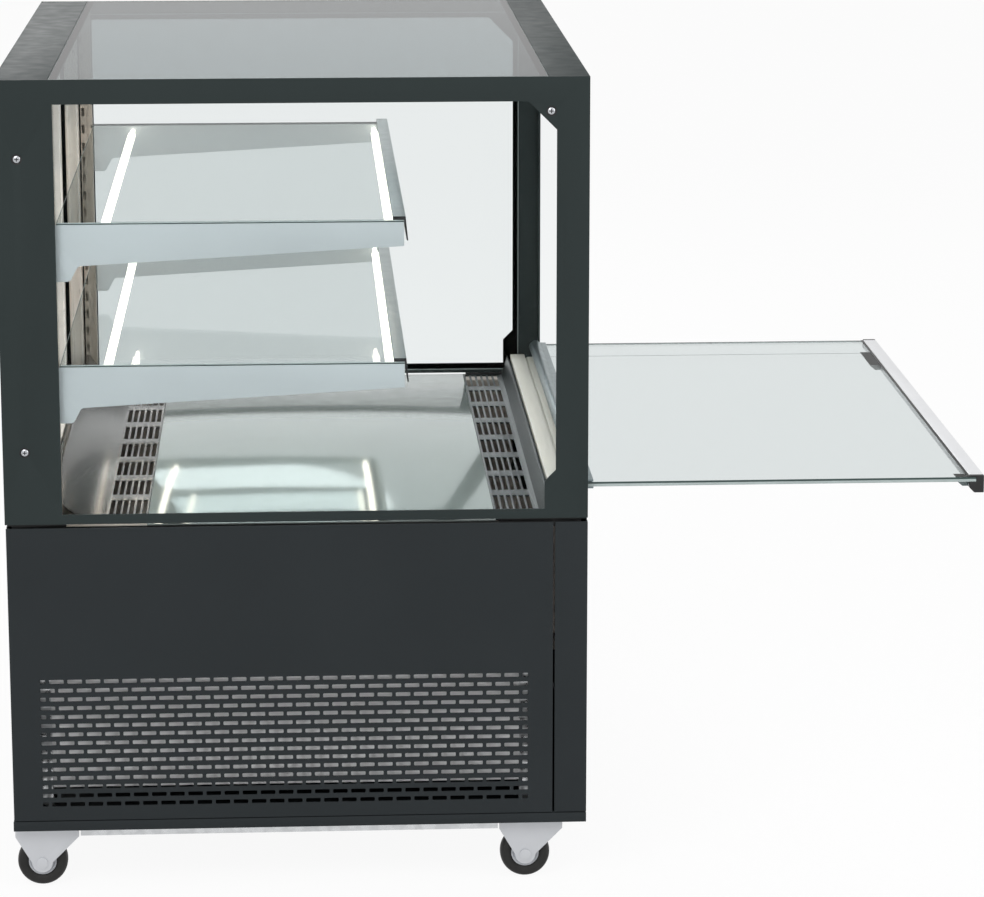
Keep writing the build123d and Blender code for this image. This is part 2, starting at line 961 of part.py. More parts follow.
def front_glass_rail():
    back = handle_tip_x - handle_depth
    slot = pane_thickness / 2 + slot_fit
    section = handle_outline() - outline(
        *window(back, back + slot_depth, hinge_height - slot, hinge_height + slot)
    )
    top = hinge_height - slot - handle_wall
    low = hinge_height + pane_thickness / 2 + handle_top_lip - handle_height + handle_wall
    section -= outline(
        (back + handle_wall, top),
        (handle_tip_x - handle_wall, top),
        (handle_tip_x - handle_wall, low),
        (back + handle_chamfer + handle_wall, low),
        (back + handle_wall, low + handle_chamfer),
    )
    y = half_length - pane_side_gap - cap_thickness
    return across(section, -y, y)


def rail_end_caps():
    y = half_length - pane_side_gap
    cap = across(handle_outline(), -y, -y + cap_thickness)
    slot = pane_thickness / 2 + slot_fit
    back = handle_tip_x - handle_depth
    low = hinge_height - slot
    cap -= block(back, back + slot_depth, -y, -y + cap_thickness, low, hinge_height + slot)
    return both_ends(cap)


def glass_grips():
    x1 = handle_tip_x - handle_depth
    top = hinge_height - pane_thickness / 2
    grip = outline(
        (x1 - grip_depth, top),
        (x1, top),
        (x1, top - grip_height),
        (x1 - grip_depth / 2, top - grip_height),
    )
    pane_half = half_length - pane_side_gap
    near = cap_thickness - pane_half
    far = pane_half - far_grip_inset
    return [across(grip, near, near + near_grip_length), across(grip, far - far_grip_length, far)]


# Cooling unit
def compressor():
    r = compressor_radius
    shoulder = r / 2
    profile = make_face(
        [
            Polyline((0, compressor_height), (0, 0), (r, 0), (r, compressor_height - shoulder)),
            RadiusArc((r, compressor_height - shoulder), (r - shoulder, compressor_height), -shoulder),
            Line((r - shoulder, compressor_height), (0, compressor_height)),
        ]
    )
    foot = sheet
    pot = Pos(compressor_x, compressor_y, panel_foot + foot) * revolve(Plane.XZ * profile, Axis.Z)
    base = Rectangle(2 * r + panel_fold, 1.4 * r)
    plate = Pos(compressor_x, compressor_y, panel_foot) * extrude(base, foot)
    return pot + plate


def comb(width, depth, half):
    """A finned block in plan: teeth along its width on both faces."""
    body = Rectangle(depth, width)
    for k in range(int((width - fin_slot) / fin_pitch)):
        y = -width / 2 + fin_slot + (k + 0.5) * fin_pitch
        for side in (-1, 1):
            body -= Pos(side * (depth / 2), y) * Rectangle(2 * half, fin_slot)
    return body


condenser_fan_x = coil_start_x - shroud_depth / 2
condenser_fan_z = panel_foot + coil_height / 2
evaporator_fan_x = evaporator_start_x - shroud_depth / 2
evaporator_floor = tub_bottom + tub_wall
evaporator_fan_z = evaporator_floor + evaporator_height / 2


def fan_motor(x, y, z):
    """A motor on a strut behind the blades, with its shaft pointing to them."""
    face = x - fan_hub_length / 2 - motor_gap
    body = rod_x(y, z, motor_radius, face - motor_length, face)
    return body + rod_x(y, z, fan_shaft_radius, face, x + fan_hub_length / 2)


def coil_unit(start_x, thickness, length, height, middle_y, floor, radius):
    """A finned coil behind a fan plate with its ring, the plate's motor and its strut."""
    middle = Pos(start_x + thickness / 2, middle_y, floor)
    coil = middle * extrude(comb(length, thickness, fin_depth), height)
    ring = radius + fan_tip_gap
    z = floor + height / 2
    y0 = middle_y - length / 2
    y1 = middle_y + length / 2
    top = floor + height
    wall = thin_sheet
    back = start_x - shroud_depth
    plate = block(back, start_x, y0, y1, floor, top)
    plate -= block(back + wall, start_x, y0 + wall, y1 - wall, floor + wall, top - wall)
    plate -= rod_x(middle_y, z, ring, back, start_x)
    motor = fan_motor(start_x - shroud_depth / 2, middle_y, z)
    face = start_x - shroud_depth / 2 - fan_hub_length / 2 - motor_gap
    half = panel_fold / 2
    strut_front = face - motor_length / 2
    strut = block(face - motor_length, strut_front, middle_y - half, middle_y + half, floor, z)
    return [coil + plate, motor + strut]


def fan(x, y, z, radius):
    hub = rod_x(y, z, fan_hub_radius, x - fan_hub_length / 2, x + fan_hub_length / 2)
    span = radius - fan_hub_radius + blade_thickness
    for k in range(fan_blades):
        blade = Box(blade_thickness, blade_chord * radius / fan_radius, span)
        blade = Pos(0, 0, fan_hub_radius + span / 2 - blade_thickness) * Rot(0, 0, blade_pitch) * blade
        hub += Pos(x, y, z) * Rot(360 / fan_blades * k, 0, 0) * blade
    bore = fan_shaft_radius + fan_shaft_fit
    return hub - rod_x(y, z, bore, x - fan_hub_length / 2, x + fan_hub_length / 2)


# Controls
switch_y = control_middle_y + switch_offset
switch_z = control_bottom + control_height / 2
switch_face = rear_panel_inset
switch_pivot_x = switch_face + switch_depth


def control_box():
    x0 = rear_panel_inset + thin_sheet
    y0 = control_middle_y - control_width / 2
    inset = control_window_inset + run_gap
    y1 = y0 + control_width
    z0 = control_bottom
    z1 = control_bottom + control_height
    box = block(x0, x0 + control_depth, y0, y1, z0, z1)
    box += block(rear_panel_inset, x0, y0 + inset, y1 - inset, z0 + inset, z1 - inset)
    well_y = switch_width / 2 + switch_gap
    well_z = switch_height / 2 + switch_gap
    box -= block(
        rear_panel_inset,
        switch_pivot_x + switch_well,
        switch_y - well_y,
        switch_y + well_y,
        switch_z - well_z,
        switch_z + well_z,
    )
    return box + rod_y(switch_pivot_x, switch_z, switch_pin_radius, switch_y - well_y, switch_y + well_y)


def power_switch():
    half_y = switch_width / 2
    half_z = switch_height / 2 - switch_gap
    rocker = outline(
        (switch_face + switch_tilt, switch_z - half_z),
        (switch_face, switch_z + half_z),
        (switch_pivot_x, switch_z + half_z),
        (switch_pivot_x + switch_depth, switch_z),
        (switch_pivot_x + thin_sheet, switch_z - half_z),
    )
    body = across(rocker, switch_y - half_y, switch_y + half_y)
    bore = switch_pin_radius + axle_fit
    return body - rod_y(switch_pivot_x, switch_z, bore, switch_y - half_y, switch_y + half_y)


# Assembly
pieces = {
    "side_frame_left": end_frame_left(),
    "side_glass_left": end_glass_left(),
    "rear_top_rail": rear_top_rail(),
    "front_top_rail": front_top_rail(),
    "top_glass": top_glass(),
    "frame_screws": frame_screws(),
    "deck_plate": deck_plate(),
    "front_vent_plate": front_vent_plate(),
    "rear_vent_plate": rear_vent_plate(),
    "front_sill": front_sill(),
    "sill_cap": sill_cap(),
    "insulated_tub": insulated_tub(),
    "base_frame": base_frame(),
    "corner_posts": corner_posts(),
    "side_baffles": side_baffles(),
    "side_panel_left": end_panel(grille_holes()),
    "side_panel_right": mirror(end_panel([]), about=Plane.XZ),
    "front_panel": front_panel(),
    "rear_service_panel": rear_service_panel(),
    "base_rails": base_rails(),
    "caster_plates": caster_plates(),
    "shelf_uprights": shelf_uprights(),
    "shelf_lamps": shelf_lamps(),
    "door_tracks": door_tracks(),
    "rear_jambs": rear_jambs(),
    "front_glass_pane": front_glass_pane(),
    "glass_hinge_rail": glass_hinge_rail(),
    "glass_pivot_pins": glass_pivot_pins(),
    "front_glass_rail": front_glass_rail(),
    "rail_end_caps": rail_end_caps(),
    "glass_grips": glass_grips(),
    "compressor": compressor(),
    "condenser_fan": fan(condenser_fan_x, coil_middle_y, condenser_fan_z, fan_radius),
    "evaporator_fan": fan(evaporator_fan_x, 0, evaporator_fan_z, evaporator_fan_radius),
    "control_box": control_box(),
    "power_switch": power_switch(),
}
pieces["side_frame_right"] = mirror(pieces["side_frame_left"], about=Plane.XZ)
pieces["side_glass_right"] = mirror(pieces["side_glass_left"], about=Plane.XZ)
pieces["shelf_brackets"] = []
for name, level in shelf_levels.items():
    pieces["shelf_brackets"] += shelf_bracket(level)
    pieces[f"{name}_shelf_glass"] = shelf_pane(level)
pieces["price_rails"] = [price_rail(level) for level in shelf_levels.values()]
for which in groove_starts():
    frame, pane = door_parts(which)
    pieces[f"{which}_door_frame"] = frame
    pieces[f"{which}_door_glass"] = pane
pieces["condenser_coil"] = coil_unit(
    coil_start_x, coil_thickness, coil_length, coil_height, coil_middle_y, panel_foot, fan_radius
)
pieces["evaporator_coil"] = coil_unit(
    evaporator_start_x,
    evaporator_thickness,
    evaporator_length,
    evaporator_height,
    0,
    evaporator_floor,
    evaporator_fan_radius,
)
caster_y = half_length - caster_side_inset
corners = [(x, y) for x in (rear_caster_x, front_caster_x) for y in (-caster_y, caster_y)]
for number, (x, y) in enumerate(corners, start=1):
    pieces[f"caster_fork_{number}"] = caster_fork(x, y)
    pieces[f"wheel_hub_{number}"] = wheel_hub(x, y)
    pieces[f"wheel_tyre_{number}"] = wheel_tyre(x, y)

# Origin on the floor under the middle of the footprint with the glass lowered
footprint_middle = Pos(-handle_tip_x / 2, 0, 0)
os.makedirs("parts", exist_ok=True)
for name, piece in pieces.items():
    solids = piece if isinstance(piece, list) else [piece]
    placed = [footprint_middle * solid for solid in solids]
    body = placed[0] if len(placed) == 1 else Compound(children=placed)
    export_step(body, f"parts/{name}.step")
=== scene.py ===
"""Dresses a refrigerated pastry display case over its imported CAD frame."""

import json
import math

import bmesh
import bpy
from bpy.props import FloatProperty, FloatVectorProperty, IntProperty, PointerProperty
from bpy.types import Operator, Panel, PropertyGroup
from mathutils import Matrix, Vector


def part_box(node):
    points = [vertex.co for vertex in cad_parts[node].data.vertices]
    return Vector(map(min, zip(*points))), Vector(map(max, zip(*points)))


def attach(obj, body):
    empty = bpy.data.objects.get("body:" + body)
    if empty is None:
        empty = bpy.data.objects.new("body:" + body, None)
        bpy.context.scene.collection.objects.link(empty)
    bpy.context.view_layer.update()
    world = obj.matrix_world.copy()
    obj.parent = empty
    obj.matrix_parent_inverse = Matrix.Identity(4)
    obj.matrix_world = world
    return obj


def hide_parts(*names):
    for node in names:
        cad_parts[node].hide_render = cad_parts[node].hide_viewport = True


bl_info = {
    "name": "Pastry display case",
    "version": (1, 0, 0),
    "blender": (4, 5, 0),
    "location": "3D View > Sidebar > Pastry Case",
    "description": "Dresses the frame of a pastry display case with its finishes and small parts",
    "category": "Object",
}

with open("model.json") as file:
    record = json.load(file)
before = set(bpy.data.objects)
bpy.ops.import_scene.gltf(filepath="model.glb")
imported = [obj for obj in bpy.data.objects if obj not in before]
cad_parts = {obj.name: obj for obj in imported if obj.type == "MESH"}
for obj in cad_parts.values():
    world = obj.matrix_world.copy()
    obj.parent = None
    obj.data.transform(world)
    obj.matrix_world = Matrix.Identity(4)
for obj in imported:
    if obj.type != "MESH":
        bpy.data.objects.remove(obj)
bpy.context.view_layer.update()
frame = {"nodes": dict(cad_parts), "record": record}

MM = 0.001
WHEELS = (1, 2, 3, 4)

# The grille, in metres
SLOT_LENGTH = 18.3 * MM
SLOT_HEIGHT = 5.5 * MM
SLOT_PITCH = 22.7 * MM
SLOTS_IN_ROW = 27
SLOT_ROWS = 15
ROW_PITCH = 11.4 * MM
TOP_ROW = 273.0 * MM
PANEL_START_TO_SLOTS_END = 645.0 * MM
PANEL_SHEET = 2.0 * MM
REAR_FOLD_INSET = 2.3 * MM
FOLD_DROP = 8.0 * MM

# The screws, the lamps and the lines on the front glass, in metres
DIMPLE_DEPTH = 1.5 * MM
# How far round each screw the end frame's dimple faces get the black finish, as painted shade
DIMPLE_SHADE_REACH = 6.6 * MM
HEAD_HEIGHT = 2.4 * MM
RECESS_WIDTH = 1.1 * MM
RECESS_LENGTH = 5.2 * MM
RECESS_DEPTH = 1.3 * MM
SPLICE_INSET = 95.0 * MM
SHADOW_GAP_SIDE = 436.6 * MM

# Half profiles of the round pieces: radius and place along their axis, in millimetres
LAMP_SHOULDER = ((3.2, 392.0), (4.6, 392.0), (5.2, 391.4), (5.4, 390.4))
TYRE_HALF = (
    (31.5, 2.0),
    (31.3, 5.0),
    (30.6, 8.0),
    (29.2, 10.4),
    (27.2, 11.8),
    (24.6, 12.0),
    (21.5, 11.6),
    (18.6, 10.6),
    (17.5, 9.6),
)
HUB_HALF = (
    (17.5, 9.4),
    (16.4, 9.6),
    (15.4, 9.2),
    (14.6, 8.2),
    (13.8, 8.0),
    (12.6, 7.6),
    (11.2, 7.8),
    (10.3, 9.6),
    (10.0, 11.6),
    (9.5, 12.0),
    (6.0, 12.0),
    (5.4, 11.6),
    (4.05, 11.6),
)


def shade(red, green, blue):
    """A colour given as it looks on screen, in linear light."""
    return tuple(
        c / 12.92 if c <= 0.04045 else ((c + 0.055) / 1.055) ** 2.4
        for c in (red / 255, green / 255, blue / 255)
    ) + (1.0,)


# Settings


class CaseFinishSettings(PropertyGroup):
    """Colours of the case."""

    frame_paint: FloatVectorProperty(
        name="Frame paint",
        description="Powder coat of the upper frame",
        subtype="COLOR",
        size=4,
        min=0.0,
        max=1.0,
        default=shade(49, 56, 56),
    )
    body_paint: FloatVectorProperty(
        name="Body paint",
        description="Powder coat of the lower panels",
        subtype="COLOR",
        size=4,
        min=0.0,
        max=1.0,
        default=shade(47, 51, 53),
    )
    bracket_paint: FloatVectorProperty(
        name="Bracket paint",
        description="Powder coat of the shelf brackets",
        subtype="COLOR",
        size=4,
        min=0.0,
        max=1.0,
        default=shade(198, 206, 209),
    )
    # The deck's pale blue-green is the steel's paleness with painted reflection of its
    # surroundings.
    deck_colour_and_painted_reflection: FloatVectorProperty(
        name="Deck",
        description="Pale steel of the deck, with painted reflection",
        subtype="COLOR",
        size=4,
        min=0.0,
        max=1.0,
        default=shade(168, 180, 178),
    )
    glass_colour: FloatVectorProperty(
        name="Glass",
        description="Tint of the panes",
        subtype="COLOR",
        size=4,
        min=0.0,
        max=1.0,
        default=shade(245, 247, 247),
    )
    glass_depth_colour: FloatVectorProperty(
        name="Glass at a slant",
        description="Tint of a pane that is seen at a slant, through more of its glass",
        subtype="COLOR",
        size=4,
        min=0.0,
        max=1.0,
        default=shade(212, 219, 219),
    )
    # The top pane's dark slanted colour is painted shade, not a tint of the glass.
    roof_painted_shade_colour: FloatVectorProperty(
        name="Top glass painted shade",
        description="Painted shade of the top pane, darker at a slant",
        subtype="COLOR",
        size=4,
        min=0.0,
        max=1.0,
        default=shade(106, 121, 124),
    )


class CaseDetailSettings(PropertyGroup):
    """Sizes of the small forms that the scene adds to the frame."""

    sheet_arris: FloatProperty(
        name="Sheet arris",
        description="Rounding on the edges of folded sheet",
        unit="LENGTH",
        min=0.0,
        default=0.5 * MM,
    )
    bar_arris: FloatProperty(
        name="Bar arris",
        description="Rounding on the edges of extruded bars",
        unit="LENGTH",
        min=0.0,
        default=0.8 * MM,
    )
    glass_arris: FloatProperty(
        name="Glass arris",
        description="Width of the ground arris of a pane",
        unit="LENGTH",
        min=0.0,
        default=0.6 * MM,
    )
    slot_corner: FloatProperty(
        name="Slot corner",
        description="Corner radius of the grille's punched slots",
        unit="LENGTH",
        min=0.0,
        default=1.2 * MM,
    )
    screw_radius: FloatProperty(
        name="Screw head radius",
        description="Radius of the frame's pan-head screws",
        unit="LENGTH",
        min=0.0,
        default=4.9 * MM,
    )
    round_steps: IntProperty(
        name="Round steps",
        description="Segments round a wheel",
        min=12,
        default=72,
    )


# Finishes


class Finish:
    """One node material: its tree, its shader and the place that patterns read."""

    def __init__(self, name, colour, roughness, **sockets):
        self.material = bpy.data.materials.new(name)
        self.material.use_nodes = True
        self.nodes = self.material.node_tree.nodes
        self.links = self.material.node_tree.links
        self.shader = self.nodes["Principled BSDF"]
        self.shader.inputs["Base Color"].default_value = colour
        self.shader.inputs["Roughness"].default_value = roughness
        for socket, value in sockets.items():
            self.shader.inputs[socket.replace("_", " ")].default_value = value
        self.place = self.nodes.new("ShaderNodeTexCoord").outputs["Object"]
        self.colour = colour

    def pattern(self, kind, scale, stretch=(1, 1, 1), **inputs):
        """A texture read in Object coordinates, with its space stretched first."""
        mapping = self.nodes.new("ShaderNodeMapping")
        mapping.inputs["Scale"].default_value = stretch
        self.links.new(self.place, mapping.inputs["Vector"])
        texture = self.nodes.new(f"ShaderNodeTex{kind}")
        texture.inputs["Scale"].default_value = scale
        for socket, value in inputs.items():
            texture.inputs[socket].default_value = value
        self.links.new(mapping.outputs["Vector"], texture.inputs["Vector"])
        return texture.outputs[0]

    def ranged(self, factor, low, high):
        """The factor's middle part spread between two values."""
        spread = self.nodes.new("ShaderNodeMapRange")
        spread.inputs["From Min"].default_value = 0.3
        spread.inputs["From Max"].default_value = 0.7
        spread.inputs["To Min"].default_value = low
        spread.inputs["To Max"].default_value = high
        self.links.new(factor, spread.inputs["Value"])
        return spread.outputs["Result"]

    def tint(self, factor, other):
        """Varies the colour towards another one."""
        mix = self.nodes.new("ShaderNodeMix")
        mix.data_type = "RGBA"
        mix.inputs["A"].default_value = self.colour
        mix.inputs["B"].default_value = other
        self.links.new(self.ranged(factor, 0.0, 1.0), mix.inputs["Factor"])
        self.links.new(mix.outputs["Result"], self.shader.inputs["Base Color"])
        return self

    def polish(self, factor, low, high):
        """Varies the roughness."""
        self.links.new(self.ranged(factor, low, high), self.shader.inputs["Roughness"])
        return self

    def relief(self, factor, depth, strength=1.0):
        """Raises the surface by the pattern, by a depth in metres."""
        bump = self.nodes.new("ShaderNodeBump")
        bump.inputs["Strength"].default_value = strength
        bump.inputs["Distance"].default_value = depth
        self.links.new(factor, bump.inputs["Height"])
        self.links.new(bump.outputs["Normal"], self.shader.inputs["Normal"])
        return self


def scaled(colour, amount):
    """A colour made lighter or darker."""
    return tuple(min(1.0, c * amount) for c in colour[:3]) + (1.0,)


def powder_coat(name, colour, roughness=0.5, gloss=0.06):
    """Satin powder coat with its fine orange peel."""
    finish = Finish(name, colour, roughness, Specular_IOR_Level=gloss)
    finish.tint(finish.pattern("Noise", 6.0, Detail=3.0), scaled(colour, 1.08))
    finish.polish(finish.pattern("Noise", 40.0, Detail=2.0), roughness - 0.05, roughness + 0.05)
    peel = finish.pattern("Noise", 900.0, Detail=1.0)
    return finish.relief(peel, 0.03 * MM, 0.4).material


def brushed_steel(name, colour, roughness, along, metal=1.0):
    """Brushed sheet: fine scratches drawn out along one axis, over slow cloudy changes."""
    stretch = tuple(1.0 if axis == along else 60.0 for axis in "xyz")
    finish = Finish(name, colour, roughness, Metallic=metal)
    finish.tint(finish.pattern("Noise", 5.0, Detail=3.0), scaled(colour, 0.93))
    scratches = finish.pattern("Noise", 40.0, stretch, Detail=3.0, Roughness=0.6)
    finish.polish(scratches, roughness - 0.05, roughness + 0.05)
    return finish.relief(scratches, 0.01 * MM, 0.2).material


def satin_metal(name, colour, roughness, metal, spread=0.04):
    """Plated or anodised metal, smooth and faintly mottled."""
    finish = Finish(name, colour, roughness, Metallic=metal)
    finish.tint(finish.pattern("Noise", 9.0, Detail=2.0), scaled(colour, 0.95))
    polish = finish.pattern("Noise", 60.0, Detail=2.0)
    finish.polish(polish, roughness - spread, roughness + spread)
    return finish.relief(finish.pattern("Noise", 500.0), 0.01 * MM, 0.15).material


def zinc_sheet(name, colour):
    """Galvanised sheet with its crystal spangle."""
    finish = Finish(name, colour, 0.3, Metallic=0.85)
    spangle = finish.pattern("Voronoi", 90.0)
    finish.tint(spangle, scaled(colour, 0.9))
    return finish.polish(spangle, 0.24, 0.38).material


def moulded_plastic(name, colour, roughness):
    """Moulded plastic with a fine grain."""
    finish = Finish(name, colour, roughness)
    finish.tint(finish.pattern("Noise", 12.0, Detail=2.0), scaled(colour, 1.06))
    finish.polish(finish.pattern("Noise", 60.0), roughness - 0.04, roughness + 0.04)
    return finish.relief(finish.pattern("Noise", 1400.0), 0.03 * MM, 0.4).material


def float_glass(name, colour, slanted):
    """Thin float glass: the more slanted the view, the more of its tint is seen; on the top pane
    the slanted colour is painted shade.
    """
    finish = Finish(name, colour, 0.0, Transmission_Weight=1.0, IOR=1.08)
    weight = finish.nodes.new("ShaderNodeLayerWeight")
    weight.inputs["Blend"].default_value = 0.5
    finish.tint(weight.outputs["Facing"], slanted)
    return finish.relief(finish.pattern("Noise", 5.0, Detail=1.0), 0.01 * MM, 0.05).material


def ground_edge(name, colour):
    """The ground edge of a pane, where its green shows; the dark copy of it is painted shade."""
    finish = Finish(name, colour, 0.3, Transmission_Weight=0.1, IOR=1.45)
    finish.tint(finish.pattern("Noise", 30.0, Detail=2.0), scaled(colour, 1.15))
    return finish.material


def lit_diffuser(name, colour, strength):
    """The milky cover of a lit tube."""
    finish = Finish(name, colour, 0.35, Emission_Color=colour, Emission_Strength=strength)
    finish.tint(finish.pattern("Noise", 25.0), scaled(colour, 0.96))
    return finish.material


def rubber(name, colour):
    """Solid tyre rubber, dull with a slight sheen."""
    finish = Finish(name, colour, 0.55, Specular_IOR_Level=0.35)
    finish.tint(finish.pattern("Noise", 80.0, Detail=4.0), scaled(colour, 1.5))
    return finish.relief(finish.pattern("Noise", 700.0, Detail=2.0), 0.08 * MM, 0.6).material


def make_finishes(settings):
    """Every finish of the case, by the maker's name for it."""
    plain = settings.glass_colour
    return {
        "frame paint": powder_coat("frame_paint", settings.frame_paint),
        "body paint": powder_coat("body_paint", settings.body_paint),
        "bracket paint": powder_coat("bracket_paint", settings.bracket_paint, 0.45, 0.3),
        "door white": powder_coat("door_white", shade(250, 242, 236), 0.3, 0.6),
        "deck steel": satin_metal("deck_steel", settings.deck_colour_and_painted_reflection, 0.09, 0.3, 0.01),
        "vent steel": brushed_steel("vent_steel", shade(68, 75, 77), 0.34, "y", 0.8),
        "cove steel": brushed_steel("cove_steel", shade(74, 70, 66), 0.22, "z"),
        # The uprights' warm taupe is painted reflection of warm light on the steel.
        "upright steel with painted reflection": brushed_steel("upright_steel_with_painted_reflection", shade(196, 184, 172), 0.35, "z", 0.5),
        # The baffles' near white is painted light, brighter than zinc, standing for the light
        # seen through the slots.
        "baffle zinc painted light": satin_metal("baffle_zinc_painted_light", shade(252, 252, 253), 0.4, 0.65),
        "zinc sheet": zinc_sheet("zinc_sheet", shade(214, 216, 218)),
        "zinc plate": satin_metal("zinc_plate", shade(206, 208, 212), 0.45, 0.5),
        "light aluminium": satin_metal("light_aluminium", shade(226, 227, 229), 0.35, 0.6),
        # The hinge rail's finish is a darker copy of the light aluminium: painted shade.
        "hinge aluminium painted shade": satin_metal("hinge_aluminium_painted_shade", shade(122, 134, 137), 0.35, 0.8),
        "coil aluminium": satin_metal("coil_aluminium", shade(206, 208, 210), 0.35, 0.9),
        "screw steel": satin_metal("screw_steel", shade(188, 190, 194), 0.25, 0.9),
        "glass": float_glass("clear_glass", plain, settings.glass_depth_colour),
        "roof glass painted shade": float_glass("roof_glass_painted_shade", plain, settings.roof_painted_shade_colour),
        "pale edge": ground_edge("pale_edge", shade(176, 188, 187)),
        "edge with painted shade": ground_edge("edge_with_painted_shade", shade(52, 70, 68)),
        "cream plastic": moulded_plastic("cream_plastic", shade(222, 221, 212), 0.45),
        "price plastic": moulded_plastic("price_plastic", shade(130, 140, 141), 0.35),
        # The black finish also paints shade: in the screw dimples and recesses, and in the tub's
        # shadow gap.
        "black plastic and painted shade": moulded_plastic("black_plastic", shade(18, 19, 20), 0.5),
        "grip plastic": moulded_plastic("grip_plastic", shade(96, 108, 108), 0.4),
        "hub plastic": moulded_plastic("hub_plastic", shade(196, 199, 204), 0.45),
        "tub liner": moulded_plastic("tub_liner", shade(206, 197, 189), 0.5),
        "control plastic": moulded_plastic("control_plastic", shade(52, 54, 56), 0.5),
        "tyre rubber": rubber("tyre_rubber", shade(26, 26, 25)),
        "lamp": lit_diffuser("lamp_diffuser", shade(255, 243, 228), 5.0),
    }


# Mesh building


def merged_mesh(node):
    """The node's mesh with its loose triangles joined up into flat faces."""
    mesh = bmesh.new()
    mesh.from_mesh(frame["nodes"][node].data)
    bmesh.ops.remove_doubles(mesh, verts=mesh.verts, dist=1e-6)
    bmesh.ops.dissolve_limit(
        mesh, angle_limit=math.radians(0.4), verts=mesh.verts, edges=mesh.edges
    )
    return mesh


def object_from(name, mesh, finish):
    """A new object at the origin from a bmesh, with one finish."""
    data = bpy.data.meshes.new(name)
    mesh.to_mesh(data)
    mesh.free()
    piece = bpy.data.objects.new(name, data)
    bpy.context.scene.collection.objects.link(piece)
    data.materials.append(finish)
    return piece


def baked(piece):
    """Turns the piece and its modifiers into a plain mesh."""
    graph = bpy.context.evaluated_depsgraph_get()
    data = bpy.data.meshes.new_from_object(piece.evaluated_get(graph))
    piece.modifiers.clear()
    piece.data = data
    return piece


def smoothed(piece, degrees=32.0):
    """Smooth shading that keeps the real edges sharp."""
    for face in piece.data.polygons:
        face.use_smooth = True
    piece.data.set_sharp_from_angle(angle=math.radians(degrees))
    return piece


def rounded(piece, width, steps=2):
    """Rounds the arrises of the piece."""
    bevel = piece.modifiers.new("arris", "BEVEL")
    bevel.width = width
    bevel.segments = steps
    bevel.limit_method = "ANGLE"
    bevel.angle_limit = math.radians(40)
    bevel.miter_outer = "MITER_SHARP"
    return smoothed(baked(piece))


def standing_for(piece, node):
    """Puts the piece in the node's place, on its body."""
    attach(piece, node_body(node))
    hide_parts(node)
    return piece


def node_body(node):
    """The body that a node moves with."""
    for body, nodes in frame["record"]["behaviour"]["bodies"].items():
        if node in nodes:
            return body
    raise RuntimeError(f"no body holds {node}")


def accented(piece, finish, where):
    """Gives a second finish to the faces that pass a test."""
    piece.data.materials.append(finish)
    for face in piece.data.polygons:
        if where(face):
            face.material_index = len(piece.data.materials) - 1
    return piece


def dressed(node, finish, width, accent=None, where=None):
    """A copy of a node with its arrises rounded, standing for it."""
    piece = object_from(f"{node}_dressed", merged_mesh(node), finish)
    rounded(piece, width)
    if accent:
        accented(piece, accent, where)
    return standing_for(piece, node)


def glazed(node, clear, settings, thin, upper, lower, dark_part=0.5):
    """A pane with its ground edges: a lower and an upper band of the edge, a dark band being
    painted shade, and clear faces.
    """
    mesh = merged_mesh(node)
    low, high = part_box(node)
    if thin == "z":
        bmesh.ops.bisect_plane(
            mesh,
            geom=[*mesh.verts, *mesh.edges, *mesh.faces],
            plane_co=(0, 0, low.z + (high.z - low.z) * dark_part),
            plane_no=(0, 0, 1),
        )
    piece = object_from(f"{node}_dressed", mesh, clear)
    rounded(piece, settings.glass_arris, 1)
    middle = low.z + (high.z - low.z) * dark_part
    axis = "xyz".index(thin)
    accented(piece, upper, lambda face: abs(face.normal[axis]) < 0.9 and face.center.z > middle)
    accented(piece, lower, lambda face: abs(face.normal[axis]) < 0.9 and face.center.z <= middle)
    return standing_for(piece, node)


def bar(mesh, low, high):
    """Adds a closed bar between two corners to a bmesh."""
    made = bmesh.ops.create_cube(mesh, size=1.0)["verts"]
    for vert in made:
        vert.co = [(a + b) / 2 + c * (b - a) for a, b, c in zip(low, high, vert.co)]


def strip(name, low, high, finish, body, width):
    """A thin strip with rounded arrises, on a body."""
    mesh = bmesh.new()
    bar(mesh, low, high)
    piece = rounded(object_from(name, mesh, finish), width)
    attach(piece, body)
    return piece


def joined(pieces, name):
    """Several objects merged in one mesh."""
    mesh = bmesh.new()
    finishes = []
    for piece in pieces:
        start = len(mesh.faces)
        mesh.from_mesh(piece.data)
        mesh.faces.ensure_lookup_table()
        for face in mesh.faces[start:]:
            face.material_index += len(finishes)
        finishes += list(piece.data.materials)
        bpy.data.objects.remove(piece)
    whole = object_from(name, mesh, finishes[0])
    for finish in finishes[1:]:
        whole.data.materials.append(finish)
    return smoothed(whole)


def turned(name, profile, centre, finish, steps):
    """A round piece turned about a line along the case.

    Each pair of the profile is a radius and a place along the line, in millimetres."""
    mesh = bmesh.new()
    rings = []
    for radius, along in profile:
        ring = []
        for step in range(steps):
            angle = 2 * math.pi * step / steps
            spot = Vector((radius * math.cos(angle), along, radius * math.sin(angle)))
            ring.append(mesh.verts.new(spot * MM + centre))
        rings.append(ring)
    for first, second in zip(rings, rings[1:] + rings[:1]):
        for a, b in zip(range(steps), [*range(1, steps), 0]):
            mesh.faces.new((first[a], first[b], second[b], second[a]))
    bmesh.ops.recalc_face_normals(mesh, faces=mesh.faces)
    return smoothed(object_from(name, mesh, finish), 40)


